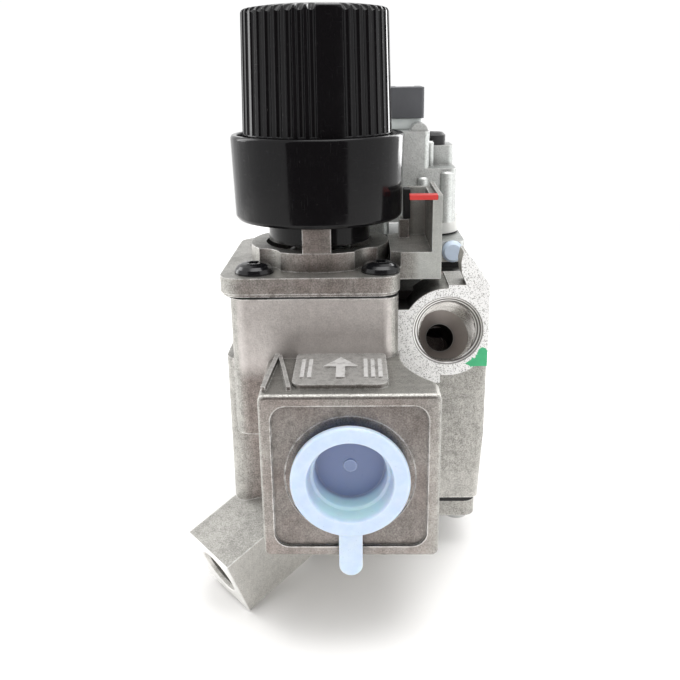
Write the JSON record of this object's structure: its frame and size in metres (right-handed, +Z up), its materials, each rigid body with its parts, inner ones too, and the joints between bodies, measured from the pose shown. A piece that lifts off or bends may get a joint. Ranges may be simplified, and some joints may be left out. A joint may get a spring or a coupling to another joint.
{
  "type": "gas control valve",
  "caption": "Die-cast thermoelectric combination gas control with push-and-turn ribbed knob, capped inlet, open outlet, side and angled pilot ports, regulator turret and solenoid operator.",
  "frame": {"origin": "centre of the gas inlet on the inlet face", "axes": "+Z up along the knob axis, +Y the way gas flows from inlet to outlet, +X to the right seen from the inlet end"},
  "size_m": [0.0761, 0.1075, 0.1417],
  "materials": {
    "cast": "as-cast, fine grain, machined faces",
    "steel": "zinc plated",
    "black_steel": "black zinc",
    "black_plastic": "gloss black",
    "blue_plastic": "translucent soft polyethylene",
    "pale_plastic": "pale natural nylon",
    "white_plastic": "natural nylon",
    "grey_plastic": "dark grey moulded",
    "red_plastic": "red strip",
    "rubber": "nitrile",
    "gasket": "fibre gasket",
    "brass": "turned",
    "copper": "enamelled wire"
  },
  "bodies": {
    "casting": {"bottom_cover": "cast", "bottom_screws": "steel", "coil_bobbin": "white_plastic", "cover_gasket": "gasket", "cover_screws": "black_steel", "fixed_core": "steel", "index_block": "black_plastic", "inlet_strainer": "steel", "insulator_plate": "white_plastic", "knob_spring": "steel", "magnet_can": "steel", "magnet_coils": "copper", "magnet_core": "steel", "main_body": "cast", "main_diaphragm": "rubber", "main_valve_spring": "steel", "operator_coil": "copper", "operator_housing": "cast", "operator_screws": "steel", "outlet_test_nipple": "brass", "plunger_spring": "steel", "red_marker_strip": "red_plastic", "regulator_base": "cast", "regulator_cap": "black_plastic", "regulator_diaphragm": "rubber", "regulator_gasket": "gasket", "regulator_plate": "steel", "regulator_spring": "steel", "safety_seat": "brass", "safety_valve_spring": "steel", "shaft_seal": "rubber", "spacer_ring": "white_plastic", "terminal_block": "grey_plastic", "terminal_screws": "steel", "terminal_tabs": "brass", "top_cover": "cast", "vent_plug": "pale_plastic"},
    "plug": {"plug_cock": "brass"},
    "knob": {"knob_grip": "black_plastic", "knob_skirt": "black_plastic", "knob_shaft": "steel", "shaft_clip": "steel"},
    "safety_valve": {"safety_valve_stem": "steel", "safety_valve_rubber": "rubber"},
    "main_valve": {"main_valve_stem": "steel", "main_valve_rubber": "rubber"},
    "plunger": {"operator_plunger": "steel"},
    "regulator_adjuster": {"regulator_screw": "black_plastic"},
    "pilot_adjuster": {"pilot_screw": "steel"},
    "test_plug": {"outlet_test_screw": "steel"},
    "cap": {"inlet_cap": "blue_plastic"}
  },
  "joints": [
    {"name": "knob_turn", "type": "hinge", "parent": "casting", "child": "plug", "pos_m": [-0.0075, 0.045, 0.03], "axis": [0, 0, 1], "range_deg": [0, 180]},
    {"name": "knob_push", "type": "slide", "parent": "plug", "child": "knob", "axis": [0, 0, -1], "range_m": [0, 0.0045], "stiffness_N_per_m": 2000, "springref_m": -0.002, "deforming": ["knob_spring"]},
    {"name": "safety_valve_lift", "type": "slide", "parent": "casting", "child": "safety_valve", "axis": [0, 0, -1], "range_m": [0, 0.0045], "deforming": ["safety_valve_spring"]},
    {"name": "main_valve_lift", "type": "slide", "parent": "casting", "child": "main_valve", "axis": [0, 0, 1], "range_m": [0, 0.003], "stiffness_N_per_m": 300, "springref_m": -0.002, "deforming": ["main_valve_spring"]},
    {"name": "plunger_lift", "type": "slide", "parent": "casting", "child": "plunger", "axis": [0, 0, 1], "range_m": [0, 0.0024], "stiffness_N_per_m": 200, "springref_m": -0.002, "deforming": ["plunger_spring"]},
    {"name": "regulator_screw_turn", "type": "hinge", "parent": "casting", "child": "regulator_adjuster", "pos_m": [0.023, 0.0792, 0.06], "axis": [0, 0, 1], "range_deg": [-360, 360]},
    {"name": "pilot_screw_turn", "type": "hinge", "parent": "casting", "child": "pilot_adjuster", "pos_m": [0.022, 0.0452, 0.03], "axis": [0, 0, 1], "range_deg": [-180, 540]},
    {"name": "test_screw_turn", "type": "hinge", "parent": "casting", "child": "test_plug", "pos_m": [-0.014, 0.084, 0.035], "axis": [0, 0, 1], "range_deg": [0, 720]},
    {"name": "inlet_cap_pull", "type": "slide", "parent": "casting", "child": "cap", "axis": [0, -1, 0], "range_m": [0, 0.03]}
  ],
  "couplings": [
    {"joint": "safety_valve_lift", "follows": "knob_push", "ratio": 1}
  ]
}
